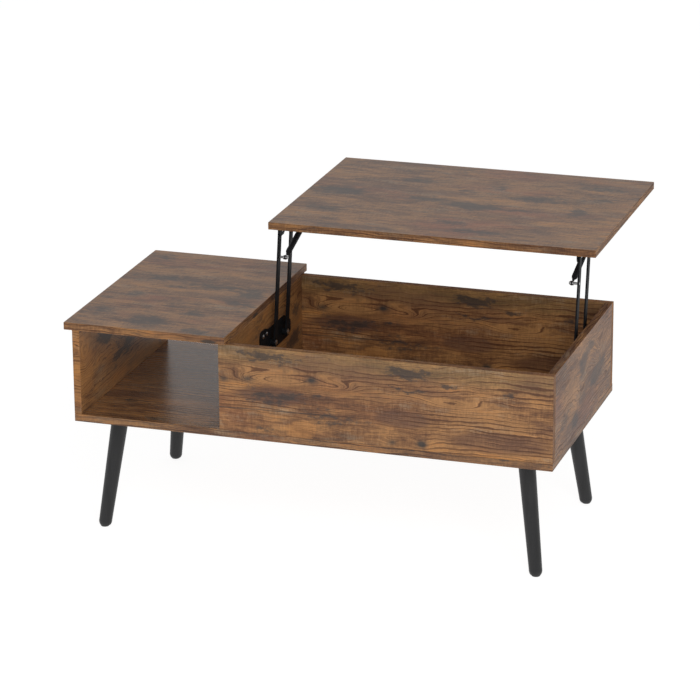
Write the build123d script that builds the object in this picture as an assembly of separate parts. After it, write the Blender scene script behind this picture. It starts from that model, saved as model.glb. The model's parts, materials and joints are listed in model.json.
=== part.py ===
"""Lift-top coffee table: an open cubby under a fixed top, and a deep compartment under a lift top.

The row frame: X runs along the table, Y from the closed front panel to the back, Z up.
The table is modelled with its lift top raised. The origin lies on the floor, under the
middle of the raised table's bounding box, so the case sits half of the travel in front of it.
"""
import os
from math import asin, atan2, cos, degrees, hypot, radians, sin

from build123d import *

os.makedirs("parts", exist_ok=True)

# ---- overall sizes, in millimetres ----
BOARD = 15.0              # thickness of every laminated board
TOP_LENGTH = 1000.0       # both tops together, closed
TOP_DEPTH = 500.0
CASE_LENGTH = 970.0
CASE_DEPTH = 480.0
WALL_HEIGHT = 175.0       # walls between the bottom board and the tops
LEG_HEIGHT = 232.0        # floor to the bottom board's underside
TOP_OVERHANG_FRONT = 5.0
WALL_SETBACK_BACK = 3.0   # the bottom board runs this far past the walls at the back
FIXED_TOP_LENGTH = 333.0
TOP_GAP = 2.0             # between the fixed top and the lift top
EDGE_RADIUS = 0.7         # softened board edges

# ---- motion of the lift top ----
TRAVEL_BACK = 258.0
TRAVEL_UP = 158.0
CLOSED_GAP = 0.3          # under the closed lift top
ARM_LENGTH = 230.0        # pivot to pivot
ARM_SPACING = 72.0        # between the two arms of one side
PIVOT_BELOW_TOP = 10.0
FRONT_PIVOT_Y = 15.0      # behind the middle of the tops, closed

# ---- places that follow from them ----
CASE_Y = -TRAVEL_BACK / 2
TOP_FRONT = CASE_Y - TOP_DEPTH / 2
TOP_BACK = CASE_Y + TOP_DEPTH / 2
CASE_FRONT = TOP_FRONT + TOP_OVERHANG_FRONT
CASE_BACK = CASE_FRONT + CASE_DEPTH
WALL_BACK = CASE_BACK - WALL_SETBACK_BACK
CASE_LEFT = -CASE_LENGTH / 2
CASE_RIGHT = CASE_LENGTH / 2
TOP_LEFT = -TOP_LENGTH / 2
TOP_RIGHT = TOP_LENGTH / 2
FIXED_TOP_RIGHT = TOP_LEFT + FIXED_TOP_LENGTH
DIVIDER_RIGHT = FIXED_TOP_RIGHT
DIVIDER_LEFT = DIVIDER_RIGHT - BOARD
FLOOR_TOP = LEG_HEIGHT + BOARD
WALL_TOP = FLOOR_TOP + WALL_HEIGHT
RAISED_UNDERSIDE = WALL_TOP + TRAVEL_UP
BOARD_MIDDLE = BOARD / 2
CASE_MIDDLE_Y = CASE_FRONT + CASE_DEPTH / 2

# ---- hardware sizes ----
FIT = 0.05                # radial clearance of a running fit
OVERCUT = 1.0             # how far a cutter runs past the face that it opens
LOOSE = 0.3               # radial clearance where the linkage is left open
CASE_SCREW_RADIUS = 2.5
CASE_SCREW_TIP_RADIUS = 0.6
CASE_SCREW_LENGTH = 50.0
CASE_SCREW_HEAD_RADIUS = 5.0
CASE_SCREW_HEAD_DEPTH = 4.0
HEX_SOCKET_RADIUS = 2.3
HEX_SOCKET_DEPTH = 2.5
SIDE_SCREW_ROWS = (-160.0, 0.0, 160.0)      # along Y, from the middle of the tops
PANEL_SCREW_COLUMNS = (-60.0, 150.0, 360.0)   # along X
DOWEL_RADIUS = 4.0
DOWEL_LENGTH = 30.0
DOWEL_IN_FACE = 10.0
DOWEL_CHAMFER = 1.0
CORNER_DOWEL_HEIGHTS = (60.0, 140.0)        # above the bottom board
TOP_DOWEL_ROWS = (-80.0, 80.0)              # along Y, from the middle of the tops
CAM_RADIUS = 7.5
CAM_DEPTH = 12.0
CAM_FROM_EDGE = 24.0
CAM_SLOT = 6.6
CAM_BOLT_RADIUS = 2.5
CAM_BOLT_HEAD_RADIUS = 3.0
CAM_BOLT_IN_FACE = 9.0
CAM_BOLT_HEAD = 5.0
CORNER_CAM_HEIGHT = 100.0                   # above the bottom board
TOP_CAM_ROWS = (-150.0, 150.0)              # along Y, from the middle of the tops

LEG_INSET = 70.0          # leg axis to the case's side and to its front or back, at the top
LEG_SPLAY = 0.13          # outward run per millimetre of height, along X and along Y
LEG_TOP_RADIUS = 17.4
LEG_FOOT_RADIUS = 13.0
LEG_TIP_RADIUS = 8.0
LEG_TIP_HEIGHT = 13.0
LEG_TIP_SLOPE = 0.9       # rise over run where the rounded tip begins
LEG_BLANK = 255.0         # along the leg's axis, before its top is cut level
GLIDE_RADIUS = 8.5
GLIDE_HEIGHT = 3.0
GLIDE_EDGE = 1.0
GLIDE_PIN_RADIUS = 1.6
GLIDE_PIN_HEIGHT = 14.0
HANGER_RADIUS = 4.0
HANGER_IN_LEG = 28.0
HANGER_IN_BOARD = 12.0
HANGER_CHAMFER = 1.0
INSERT_RADIUS = 6.0
INSERT_HEIGHT = 13.0
INSERT_FLANGE_RADIUS = 8.5
INSERT_FLANGE_HEIGHT = 1.5

STEEL = 2.5               # stamped plate thickness
BROKEN_EDGE = 0.4         # chamfer on arms and pins
CROWN = 0.6               # a head's crown over its rim, in radius
# base plate's outline, back and up from its front pivot; the first two corners are its nose
BASE_PLATE = [(-64, -20), (-64, 38), (-34, 38), (-6, 30), (84, 30), (121, 10), (121, -12),
              (106, -20)]
BASE_PLATE_NOSE = 14.0
BASE_PLATE_CORNER = 5.0
PLATE_SCREWS = [(-48, 26), (-27, 26), (28, -11), (100, -11)]
ARM_THICKNESS = 3.0
ARM_WIDTH = 17.0
ARM_EYE_RADIUS = 9.0
ARM_FROM_WALL = 9.5       # wall face to the arm's outer face
BRACKET_FROM_WALL = 13.0
BRACKET_FLANGE = 31.0     # reach of the flange that is screwed to the lift top
BRACKET_FRONT = -14.0     # the bracket's two ends, from its front pivot
BRACKET_BACK = 112.0
# lower edge of the bracket's web, back and up from its front pivot, with a lobe at each pin
BRACKET_LOWER_EDGE = [(112, -22), (106, -31), (94, -31), (84, -14), (66, -14), (58, -8),
                      (20, -8), (10, -14), (-8, -14), (-14, -8)]
BRACKET_CORNER = 3.0
FLANGE_CORNER = 6.0
BRACKET_SCREW_ROWS = (-6.0, 30.0, 66.0, 102.0)
BRACKET_SCREW_FROM_EDGE = 8.0
AXIAL_GAP = 0.1
RIVET_RADIUS = 4.0
RIVET_HEAD_RADIUS = 6.0
RIVET_HEAD_HEIGHT = 2.4
BUSH_RADIUS = 7.0
STOP_RADIUS = 3.5
STOP_GAP = 0.2
STOP_ALONG_ARM = 16.0
STOP_LENGTH = 13.0
WOOD_SCREW_RADIUS = 2.0
WOOD_SCREW_LENGTH = 12.0
WOOD_SCREW_HEAD_RADIUS = 4.5
WOOD_SCREW_HEAD_HEIGHT = 2.2
SPRING_FROM_WALL = 25.0   # wall face to the spring's axis
SPRING_RADIUS = 6.0
SPRING_BORE = 4.0
SPRING_WIRE = 1.0         # wire radius
SPRING_TUBE_END = 2.5     # closed ends of the tube that stands for the coils
HOOK_PLAY = 0.5           # each side of a hook, between the pin's collars
SPRING_HOOK = 10.0        # from each pin's centre to the coils
SPRING_PIN_RADIUS = 2.5
SPRING_PIN_COLLAR = 4.3
SPRING_PIN_COLLAR_WIDTH = 2.0
SPRING_PIN_END = 30.5     # wall face to the pin's end
SPRING_ON_ARM = 57.0      # below the arm's upper pivot
SPRING_ANCHOR = (100.0, -22.0)  # from the bracket's front pivot, back and up

# ---- the parallel linkage: two angles give the stated travel ----
rise = TRAVEL_UP - CLOSED_GAP
half_swing = degrees(asin(hypot(TRAVEL_BACK, rise) / (2 * ARM_LENGTH)))
middle_angle = 90 + degrees(atan2(rise, TRAVEL_BACK))
RAISED_ANGLE = middle_angle - half_swing   # closed, the arms stand at middle_angle + half_swing

UPPER_PIVOT_Z = RAISED_UNDERSIDE - PIVOT_BELOW_TOP
BASE_PIVOT_Z = UPPER_PIVOT_Z - ARM_LENGTH * sin(radians(RAISED_ANGLE))
BASE_PIVOT_Y = CASE_Y + FRONT_PIVOT_Y
UPPER_PIVOT_Y = BASE_PIVOT_Y + ARM_LENGTH * cos(radians(RAISED_ANGLE))


# ---- small helpers ----
def box(x, y, z):
    """Solid box between two limits along each axis."""
    size = (x[1] - x[0], y[1] - y[0], z[1] - z[0])
    return Pos(x[0], y[0], z[0]) * Box(*size, align=(Align.MIN, Align.MIN, Align.MIN))


def board(x, y, z):
    """Laminated board with softened edges."""
    solid = box(x, y, z)
    return fillet(solid.edges(), EDGE_RADIUS)


def rod(start, direction, radius, length):
    """Cylinder from a point along a direction."""
    place = Plane(origin=start, z_dir=direction).location
    return place * Cylinder(radius, length, align=(Align.CENTER, Align.CENTER, Align.MIN))


def cone(start, direction, radius, end_radius, length):
    """Cone frustum from a point along a direction."""
    place = Plane(origin=start, z_dir=direction).location
    return place * Cone(radius, end_radius, length, align=(Align.CENTER, Align.CENTER, Align.MIN))


def hexagon(start, direction, radius, length):
    """Hexagonal prism from a point along a direction."""
    plane = Plane(origin=start, z_dir=direction)
    return extrude(plane * RegularPolygon(radius, 6), length, dir=Vector(*direction))


def shifted(point, direction, distance):
    """Point moved along a direction."""
    return tuple(p + d * distance for p, d in zip(point, direction))


def opposite(direction):
    return tuple(-d for d in direction)


def drilled(solid, cutters):
    """Solid less each cutter in turn."""
    for cutter in cutters:
        solid = solid - cutter
    return solid


def write(name, shapes):
    """Write one node: a solid, or a group of separate solids."""
    solids = shapes if isinstance(shapes, list) else [shapes]
    export_step(Compound(children=[s.solid() for s in solids], label=name), f"parts/{name}.step")


# ---- case joinery: each function returns the hardware and the holes it needs ----
def case_screw(x, y):
    """Countersunk screw, up through the bottom board into the lower edge of a wall."""
    up = (0, 0, 1)
    foot = (x, y, LEG_HEIGHT)
    shank = rod(foot, up, CASE_SCREW_RADIUS, CASE_SCREW_LENGTH - CASE_SCREW_RADIUS)
    tip = cone(shifted(foot, up, CASE_SCREW_LENGTH - CASE_SCREW_RADIUS), up,
               CASE_SCREW_RADIUS, CASE_SCREW_TIP_RADIUS, CASE_SCREW_RADIUS)
    head = cone(foot, up, CASE_SCREW_HEAD_RADIUS, CASE_SCREW_RADIUS, CASE_SCREW_HEAD_DEPTH)
    screw = shank + tip + head - hexagon(foot, up, HEX_SOCKET_RADIUS, HEX_SOCKET_DEPTH)
    hole = rod(foot, up, CASE_SCREW_RADIUS + FIT, CASE_SCREW_LENGTH + FIT)
    sink = cone(foot, up, CASE_SCREW_HEAD_RADIUS + FIT, CASE_SCREW_RADIUS + FIT,
                CASE_SCREW_HEAD_DEPTH)
    return screw, hole + sink


def dowel(seam, into_edge):
    """Wooden dowel across a seam, short end in the face board, long end in the edge board."""
    start = shifted(seam, into_edge, -DOWEL_IN_FACE)
    pin = rod(start, into_edge, DOWEL_RADIUS, DOWEL_LENGTH)
    pin = chamfer(pin.edges().filter_by(GeomType.CIRCLE), DOWEL_CHAMFER)
    hole_start = shifted(start, into_edge, -FIT)
    return pin, rod(hole_start, into_edge, DOWEL_RADIUS + FIT, DOWEL_LENGTH + 2 * FIT)


def cam_joint(seam, into_edge, face):
    """Cam lock in an edge board, and the bolt that it draws out of the face board.

    seam: the bolt's axis at the seam. into_edge: from the seam into the edge board.
    face: outward normal of the edge board's face that holds the cam.
    """
    centre = shifted(seam, into_edge, CAM_FROM_EDGE)
    bottom = shifted(centre, face, BOARD / 2 - CAM_DEPTH)
    disc = rod(bottom, face, CAM_RADIUS, CAM_DEPTH)
    slot = rod(shifted(centre, into_edge, -CAM_RADIUS - OVERCUT), into_edge, CAM_SLOT / 2,
               CAM_RADIUS + CAM_BOLT_HEAD)
    driver = rod(shifted(bottom, face, CAM_DEPTH - HEX_SOCKET_DEPTH / 2), face,
                 CAM_RADIUS / 2, HEX_SOCKET_DEPTH)
    cross = hexagon(shifted(bottom, face, CAM_DEPTH - HEX_SOCKET_DEPTH), face,
                    HEX_SOCKET_RADIUS, HEX_SOCKET_DEPTH)
    cam = disc - slot - driver - cross
    start = shifted(seam, into_edge, -CAM_BOLT_IN_FACE)
    bolt = rod(start, into_edge, CAM_BOLT_RADIUS, CAM_BOLT_IN_FACE + CAM_FROM_EDGE)
    bolt = bolt + rod(shifted(centre, into_edge, -CAM_BOLT_HEAD / 2), into_edge,
                      CAM_BOLT_HEAD_RADIUS, CAM_BOLT_HEAD)
    pocket = rod(shifted(bottom, face, -FIT), face, CAM_RADIUS + FIT, CAM_DEPTH + OVERCUT)
    bore = rod(seam, into_edge, CAM_BOLT_HEAD_RADIUS + FIT, CAM_FROM_EDGE)
    thread = rod(shifted(start, into_edge, -FIT), into_edge, CAM_BOLT_RADIUS + FIT,
                 CAM_BOLT_IN_FACE + FIT)
    return cam, bolt, pocket + bore, thread


# ---- case ----
walls_y = (CASE_FRONT, WALL_BACK)
between_panels_y = (CASE_FRONT + BOARD, WALL_BACK - BOARD)
walls_z = (FLOOR_TOP, WALL_TOP)
compartment_x = (DIVIDER_LEFT, CASE_RIGHT)
bottom_board = board((CASE_LEFT, CASE_RIGHT), (CASE_FRONT, CASE_BACK), (LEG_HEIGHT, FLOOR_TOP))
left_side_panel = board((CASE_LEFT, CASE_LEFT + BOARD), walls_y, walls_z)
right_side_panel = board((CASE_RIGHT - BOARD, CASE_RIGHT), between_panels_y, walls_z)
divider_panel = board((DIVIDER_LEFT, DIVIDER_RIGHT), between_panels_y, walls_z)
front_panel = board(compartment_x, (CASE_FRONT, CASE_FRONT + BOARD), walls_z)
back_panel = board(compartment_x, (WALL_BACK - BOARD, WALL_BACK), walls_z)
tops_z = (WALL_TOP, WALL_TOP + BOARD)
fixed_top = board((TOP_LEFT, FIXED_TOP_RIGHT), (TOP_FRONT, TOP_BACK), tops_z)
lift_top = board((FIXED_TOP_RIGHT + TOP_GAP, TOP_RIGHT),
                 (TOP_FRONT + TRAVEL_BACK, TOP_BACK + TRAVEL_BACK),
                 (RAISED_UNDERSIDE, RAISED_UNDERSIDE + BOARD))

left_panel_x = CASE_LEFT + BOARD_MIDDLE
divider_x = DIVIDER_LEFT + BOARD_MIDDLE
right_panel_x = CASE_RIGHT - BOARD_MIDDLE
front_panel_y = CASE_FRONT + BOARD_MIDDLE
back_panel_y = WALL_BACK - BOARD_MIDDLE

# screws up through the bottom board
case_screws = []
side_screws = [(left_panel_x, left_side_panel), (divider_x, divider_panel),
               (right_panel_x, right_side_panel)]
wall_cuts = {id(wall): [] for wall in (left_side_panel, divider_panel, right_side_panel,
                                       front_panel, back_panel)}
bottom_cuts = []
for wall_x, wall in side_screws:
    for row_y in SIDE_SCREW_ROWS:
        screw, hole = case_screw(wall_x, CASE_Y + row_y)
        case_screws.append(screw)
        wall_cuts[id(wall)].append(hole)
        bottom_cuts.append(hole)
for wall_y, wall in ((front_panel_y, front_panel), (back_panel_y, back_panel)):
    for column_x in PANEL_SCREW_COLUMNS:
        screw, hole = case_screw(column_x, wall_y)
        case_screws.append(screw)
        wall_cuts[id(wall)].append(hole)
        bottom_cuts.append(hole)

# dowels and cam locks at the compartment's corners; the cams' faces look to the left
dowels = []
cams = []
cam_bolts = []
to_the_left = (-1, 0, 0)
for wall_x, wall in ((divider_x, divider_panel), (right_panel_x, right_side_panel)):
    for seam_y, inward, panel in ((CASE_FRONT + BOARD, (0, 1, 0), front_panel),
                                  (WALL_BACK - BOARD, (0, -1, 0), back_panel)):
        for height in CORNER_DOWEL_HEIGHTS:
            pin, hole = dowel((wall_x, seam_y, FLOOR_TOP + height), inward)
            dowels.append(pin)
            wall_cuts[id(wall)].append(hole)
            wall_cuts[id(panel)].append(hole)
        seam = (wall_x, seam_y, FLOOR_TOP + CORNER_CAM_HEIGHT)
        cam, bolt, pocket, thread = cam_joint(seam, inward, to_the_left)
        cams.append(cam)
        cam_bolts.append(bolt)
        wall_cuts[id(wall)].append(pocket)
        wall_cuts[id(panel)].append(thread)

# dowels and cam locks that hold the fixed top; the cams' faces look into the cubby
fixed_top_cuts = []
downward = (0, 0, -1)
for wall_x, wall, cam_face in ((left_panel_x, left_side_panel, (1, 0, 0)),
                               (divider_x, divider_panel, to_the_left)):
    for row_y in TOP_CAM_ROWS:
        seam = (wall_x, CASE_Y + row_y, WALL_TOP)
        cam, bolt, pocket, thread = cam_joint(seam, downward, cam_face)
        cams.append(cam)
        cam_bolts.append(bolt)
        wall_cuts[id(wall)].append(pocket)
        fixed_top_cuts.append(thread)
    for row_y in TOP_DOWEL_ROWS:
        pin, hole = dowel((wall_x, CASE_Y + row_y, WALL_TOP), downward)
        dowels.append(pin)
        wall_cuts[id(wall)].append(hole)
        fixed_top_cuts.append(hole)


# ---- legs ----
def leg_profile():
    """Half outline of a leg along its own axis, from the tip up."""
    tip = (LEG_TIP_RADIUS, 0)
    foot = (LEG_FOOT_RADIUS, LEG_TIP_HEIGHT)
    rounding = TangentArc(tip, foot, tangent=(1, LEG_TIP_SLOPE))
    sides = Polyline(foot, (LEG_TOP_RADIUS, LEG_BLANK), (0, LEG_BLANK), (0, 0), tip)
    return make_face(rounding + sides)


def leg(side, end):
    """Splayed tapered leg; side is -1 left or 1 right, end is -1 front or 1 back."""
    top_x = side * (CASE_RIGHT - LEG_INSET)
    top_y = CASE_MIDDLE_Y + end * (CASE_DEPTH / 2 - LEG_INSET)
    foot = (top_x + side * LEG_SPLAY * LEG_HEIGHT, top_y + end * LEG_SPLAY * LEG_HEIGHT, 0)
    axis = (-side * LEG_SPLAY, -end * LEG_SPLAY, 1)
    spindle = revolve(Plane.XZ * leg_profile(), Axis.Z)
    spindle = Plane(origin=foot, z_dir=axis).location * spindle
    reach = LEG_HEIGHT
    keep = box((foot[0] - reach, foot[0] + reach), (foot[1] - reach, foot[1] + reach),
               (GLIDE_HEIGHT, LEG_HEIGHT))
    spindle = spindle & keep
    spindle = spindle - rod((top_x, top_y, LEG_HEIGHT), (0, 0, -1), HANGER_RADIUS + FIT,
                            HANGER_IN_LEG + OVERCUT)
    glide_x = foot[0] - side * LEG_SPLAY * GLIDE_HEIGHT
    glide_y = foot[1] - end * LEG_SPLAY * GLIDE_HEIGHT
    spindle = spindle - rod((glide_x, glide_y, GLIDE_HEIGHT), (0, 0, 1),
                            GLIDE_PIN_RADIUS + FIT, GLIDE_PIN_HEIGHT + OVERCUT)
    pad = rod((glide_x, glide_y, 0), (0, 0, 1), GLIDE_RADIUS, GLIDE_HEIGHT)
    pad = fillet(pad.edges().sort_by(Axis.Z)[0], GLIDE_EDGE)
    pad = pad + rod((glide_x, glide_y, GLIDE_HEIGHT), (0, 0, 1), GLIDE_PIN_RADIUS,
                    GLIDE_PIN_HEIGHT)
    bolt = rod((top_x, top_y, LEG_HEIGHT - HANGER_IN_LEG), (0, 0, 1), HANGER_RADIUS,
               HANGER_IN_LEG + HANGER_IN_BOARD)
    bolt = chamfer(bolt.edges().filter_by(GeomType.CIRCLE), HANGER_CHAMFER)
    base = (top_x, top_y, LEG_HEIGHT)
    insert = rod(base, (0, 0, 1), INSERT_RADIUS, INSERT_HEIGHT)
    insert = insert + rod(base, (0, 0, 1), INSERT_FLANGE_RADIUS, INSERT_FLANGE_HEIGHT)
    insert = insert - rod(base, (0, 0, 1), HANGER_RADIUS + FIT, INSERT_HEIGHT)
    recess = rod(base, (0, 0, 1), INSERT_RADIUS + FIT, INSERT_HEIGHT + FIT)
    recess = recess + rod(base, (0, 0, 1), INSERT_FLANGE_RADIUS + FIT, INSERT_FLANGE_HEIGHT + FIT)
    return spindle, pad, bolt, insert, recess


glides = []
hanger_bolts = []
insert_nuts = []
for side, side_name in ((-1, "left"), (1, "right")):
    for end, end_name in ((-1, "front"), (1, "back")):
        spindle, pad, bolt, insert, recess = leg(side, end)
        write(f"leg_{end_name}_{side_name}", spindle)
        glides.append(pad)
        hanger_bolts.append(bolt)
        insert_nuts.append(insert)
        bottom_cuts.append(recess)


# ---- lift mechanism ----
def along_arm(distance, across=0.0):
    """Offset from a base pivot: along the raised arm, and across it towards the back."""
    angle = radians(RAISED_ANGLE)
    return (distance * cos(angle) + across * sin(angle),
            distance * sin(angle) - across * cos(angle))


class LiftUnit:
    """One side's linkage. inward is 1 on a wall whose face looks along +X, else -1."""

    def __init__(self, wall_x, inward):
        self.wall_x = wall_x
        self.inward = inward
        self.direction = (inward, 0, 0)

    def x(self, from_wall):
        return self.wall_x + self.inward * from_wall

    def point(self, from_wall, y, z):
        return (self.x(from_wall), y, z)

    def plate(self, outline, from_wall, thickness):
        """Flat plate: an outline in Y and Z, at a distance from the wall."""
        start = min(self.x(from_wall), self.x(from_wall + thickness))
        return extrude(Plane.YZ.offset(start) * outline, thickness)

    def pin(self, y, z, start, end, radius):
        """Round pin along X, between two distances from the wall."""
        return rod(self.point(start, y, z), self.direction, radius, end - start)

    def dome(self, y, z, start, radius, height, outward=1):
        """Rivet or screw head with a softened rim."""
        direction = (self.inward * outward, 0, 0)
        return (rod(self.point(start, y, z), direction, radius, height / 2)
                + cone(shifted(self.point(start, y, z), direction, height / 2), direction,
                       radius, radius * CROWN, height / 2))

    # -- fixed to the case --
    def base_plate(self):
        outline = make_face(Polyline(*BASE_PLATE, close=True))
        outline = fillet(outline.vertices().sort_by(Axis.X)[0:2], BASE_PLATE_NOSE)
        behind_pivot = [v for v in outline.vertices() if v.X > 0]
        outline = fillet(behind_pivot, BASE_PLATE_CORNER)
        outline = Pos(BASE_PIVOT_Y, BASE_PIVOT_Z) * outline
        solid = self.plate(outline, 0, STEEL)
        near = -OVERCUT
        far = STEEL + OVERCUT
        holes = [self.pin(y, z, near, far, RIVET_RADIUS + FIT) for y, z in self.base_pivots()]
        holes.append(self.pin(*self.stop_centre(), near, far, STOP_RADIUS + FIT))
        holes += [self.pin(y, z, near, far, WOOD_SCREW_RADIUS + FIT)
                  for y, z in self.plate_screw_places()]
        return drilled(solid, holes)

    def base_pivots(self):
        return [(BASE_PIVOT_Y, BASE_PIVOT_Z), (BASE_PIVOT_Y + ARM_SPACING, BASE_PIVOT_Z)]

    def plate_screw_places(self):
        return [(BASE_PIVOT_Y + y, BASE_PIVOT_Z + z) for y, z in PLATE_SCREWS]

    def stop_centre(self):
        across = ARM_WIDTH / 2 + STOP_GAP + STOP_RADIUS
        offset = along_arm(STOP_ALONG_ARM, across)
        return (BASE_PIVOT_Y + ARM_SPACING + offset[0], BASE_PIVOT_Z + offset[1])

    def base_rivet(self, y, z):
        head_start = ARM_FROM_WALL + ARM_THICKNESS + AXIAL_GAP
        shank = self.pin(y, z, 0, head_start, RIVET_RADIUS)
        return shank + self.dome(y, z, head_start, RIVET_HEAD_RADIUS, RIVET_HEAD_HEIGHT)

    def bush(self, y, z):
        end = ARM_FROM_WALL - AXIAL_GAP
        return (self.pin(y, z, STEEL, end, BUSH_RADIUS)
                - self.pin(y, z, STEEL, end, RIVET_RADIUS + FIT))

    def stop_pin(self):
        y, z = self.stop_centre()
        pin = self.pin(y, z, 0, STOP_LENGTH, STOP_RADIUS)
        return chamfer(pin.edges().filter_by(GeomType.CIRCLE), BROKEN_EDGE)

    def plate_screw(self, y, z):
        shank = self.pin(y, z, -WOOD_SCREW_LENGTH, STEEL, WOOD_SCREW_RADIUS)
        return shank + self.dome(y, z, STEEL, WOOD_SCREW_HEAD_RADIUS, WOOD_SCREW_HEAD_HEIGHT)

    def plate_screw_hole(self, y, z):
        return self.pin(y, z, -WOOD_SCREW_LENGTH - FIT, 0, WOOD_SCREW_RADIUS + FIT)

    # -- arms --
    def arm(self, base_y, upper_clearance, has_spring_pin):
        """Flat stamped arm with round eyes, standing in its raised place."""
        middle = ARM_LENGTH / 2
        outline = (Rectangle(ARM_LENGTH, ARM_WIDTH)
                   + Pos(-middle, 0) * Circle(ARM_EYE_RADIUS)
                   + Pos(middle, 0) * Circle(ARM_EYE_RADIUS))
        centre = along_arm(middle)
        place = Pos(base_y + centre[0], BASE_PIVOT_Z + centre[1]) * Rot(0, 0, RAISED_ANGLE)
        solid = self.plate(place * outline, ARM_FROM_WALL, ARM_THICKNESS)
        straight = solid.edges().filter_by(GeomType.LINE)
        solid = chamfer(straight.filter_by(Axis.X, reverse=True), BROKEN_EDGE)
        upper = along_arm(ARM_LENGTH)
        near = ARM_FROM_WALL - OVERCUT
        far = ARM_FROM_WALL + ARM_THICKNESS + OVERCUT
        holes = [self.pin(base_y, BASE_PIVOT_Z, near, far, RIVET_RADIUS + FIT),
                 self.pin(base_y + upper[0], BASE_PIVOT_Z + upper[1], near, far,
                          RIVET_RADIUS + upper_clearance)]
        if has_spring_pin:
            holes.append(self.pin(*self.arm_pin_centre(), near, far, SPRING_PIN_RADIUS + FIT))
        return drilled(solid, holes)

    def arm_pin_centre(self):
        offset = along_arm(ARM_LENGTH - SPRING_ON_ARM)
        return (BASE_PIVOT_Y + offset[0], BASE_PIVOT_Z + offset[1])

    def spring_pin(self, centre, start):
        """Pin that a spring hook sits on, with a collar each side of the hook."""
        y, z = centre
        pin = self.pin(y, z, start, SPRING_PIN_END, SPRING_PIN_RADIUS)
        inner = SPRING_FROM_WALL - SPRING_WIRE - HOOK_PLAY
        outer = SPRING_FROM_WALL + SPRING_WIRE + HOOK_PLAY
        pin = pin + self.pin(y, z, inner - SPRING_PIN_COLLAR_WIDTH, inner, SPRING_PIN_COLLAR)
        return pin + self.pin(y, z, outer, outer + SPRING_PIN_COLLAR_WIDTH, SPRING_PIN_COLLAR)

    # -- fixed to the lift top --
    def bracket_pivots(self):
        return [(UPPER_PIVOT_Y, UPPER_PIVOT_Z), (UPPER_PIVOT_Y + ARM_SPACING, UPPER_PIVOT_Z)]

    def anchor_centre(self):
        return (UPPER_PIVOT_Y + SPRING_ANCHOR[0], UPPER_PIVOT_Z + SPRING_ANCHOR[1])

    def bracket_screw_places(self):
        across = BRACKET_FROM_WALL + BRACKET_FLANGE - BRACKET_SCREW_FROM_EDGE
        return [(across, UPPER_PIVOT_Y + y) for y in BRACKET_SCREW_ROWS]

    def top_bracket(self):
        """Angle bracket: a web with a lobe at each pivot, and a flange under the lift top."""
        upper_corners = [(BRACKET_FRONT, PIVOT_BELOW_TOP), (BRACKET_BACK, PIVOT_BELOW_TOP)]
        outline = make_face(Polyline(*upper_corners, *BRACKET_LOWER_EDGE, close=True))
        low = [v for v in outline.vertices() if v.Y < 0]
        outline = Pos(UPPER_PIVOT_Y, UPPER_PIVOT_Z) * fillet(low, BRACKET_CORNER)
        web = self.plate(outline, BRACKET_FROM_WALL, STEEL)
        flange_x = sorted((self.x(BRACKET_FROM_WALL), self.x(BRACKET_FROM_WALL + BRACKET_FLANGE)))
        flange = box(flange_x, (UPPER_PIVOT_Y + BRACKET_FRONT, UPPER_PIVOT_Y + BRACKET_BACK),
                     (RAISED_UNDERSIDE - STEEL, RAISED_UNDERSIDE))
        free_side = flange.edges().filter_by(Axis.Z)
        free_side = free_side.sort_by(Axis.X, reverse=self.inward > 0)[0:2]
        flange = fillet(free_side, FLANGE_CORNER)
        solid = web + flange
        near = BRACKET_FROM_WALL - OVERCUT
        far = BRACKET_FROM_WALL + STEEL + OVERCUT
        holes = [self.pin(y, z, near, far, RIVET_RADIUS + FIT) for y, z in self.bracket_pivots()]
        holes.append(self.pin(*self.anchor_centre(), near, far, SPRING_PIN_RADIUS + FIT))
        for across, y in self.bracket_screw_places():
            below = (self.x(across), y, RAISED_UNDERSIDE - STEEL - OVERCUT)
            holes.append(rod(below, (0, 0, 1), WOOD_SCREW_RADIUS + FIT, STEEL + 2 * OVERCUT))
        return drilled(solid, holes)

    def bracket_rivet(self, y, z):
        inner = ARM_FROM_WALL - AXIAL_GAP
        outer = BRACKET_FROM_WALL + STEEL
        return (self.pin(y, z, inner, outer, RIVET_RADIUS)
                + self.dome(y, z, outer, RIVET_HEAD_RADIUS, RIVET_HEAD_HEIGHT)
                + self.dome(y, z, inner, RIVET_HEAD_RADIUS, RIVET_HEAD_HEIGHT, outward=-1))

    def bracket_screw(self, across, y):
        seat = (self.x(across), y, RAISED_UNDERSIDE - STEEL)
        half = WOOD_SCREW_HEAD_HEIGHT / 2
        shank = rod(seat, (0, 0, 1), WOOD_SCREW_RADIUS, STEEL + WOOD_SCREW_LENGTH)
        rim = rod(seat, (0, 0, -1), WOOD_SCREW_HEAD_RADIUS, half)
        crown = cone(shifted(seat, (0, 0, -1), half), (0, 0, -1), WOOD_SCREW_HEAD_RADIUS,
                     WOOD_SCREW_HEAD_RADIUS * CROWN, half)
        return shank + rim + crown

    def bracket_screw_hole(self, across, y):
        seat = (self.x(across), y, RAISED_UNDERSIDE)
        return rod(seat, (0, 0, 1), WOOD_SCREW_RADIUS + FIT, WOOD_SCREW_LENGTH + FIT)

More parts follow.
